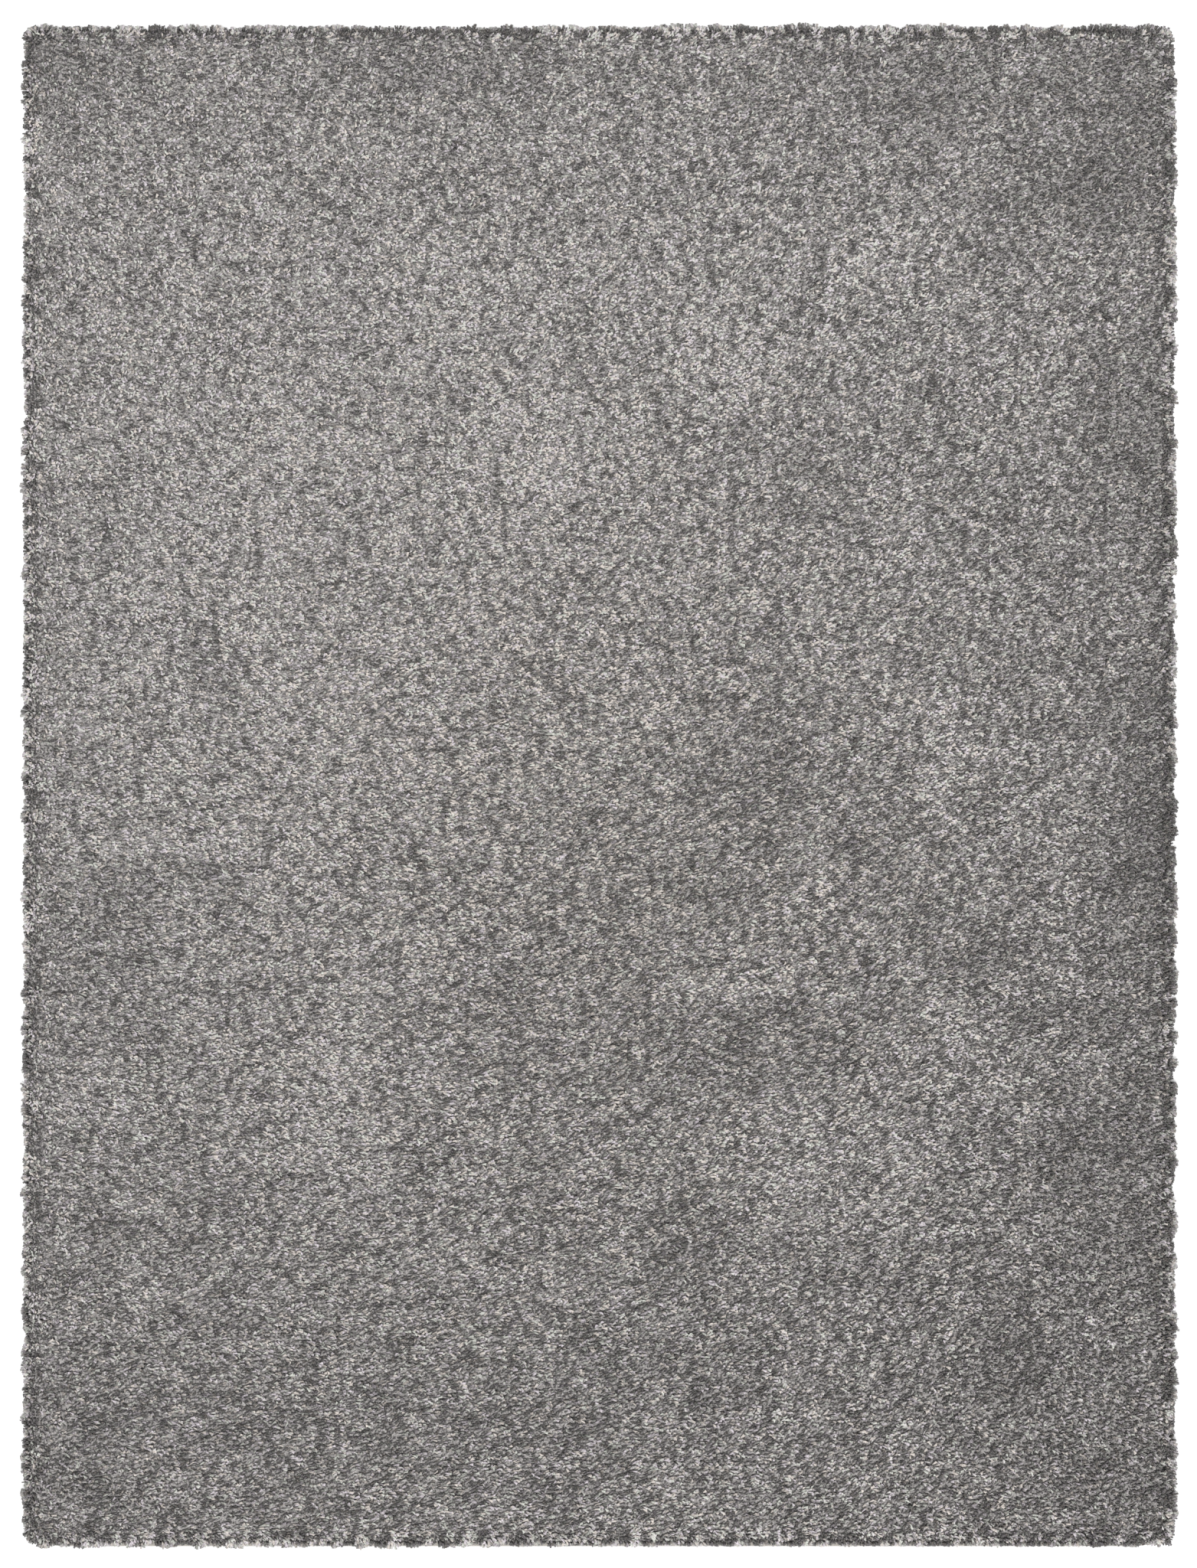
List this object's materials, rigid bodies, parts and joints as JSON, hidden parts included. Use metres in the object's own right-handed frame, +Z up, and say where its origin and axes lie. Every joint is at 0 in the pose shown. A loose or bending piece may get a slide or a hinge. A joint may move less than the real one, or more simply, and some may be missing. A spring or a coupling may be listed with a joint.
{
  "type": "shag rug",
  "caption": "Rectangular shag rug with a deep cut pile that lies over sideways and a lumpy fuzzy rim, on a woven ground cloth with hemmed ends.",
  "frame": {"origin": "middle of the underside, on the surface the rug lies on", "axes": "+X across the rug, +Y along it away from the end whose hem shows, +Z up through the pile"},
  "size_m": [1.6116, 2.1224, 0.0403],
  "materials": {
    "pile_yarn": "matte heather-grey cut yarn, pale and dark ends mixed",
    "ground_cloth": "matte plain weave, undyed"
  },
  "bodies": {
    "root": {"pile": "pile_yarn", "backing": "ground_cloth"}
  },
  "joints": []
}
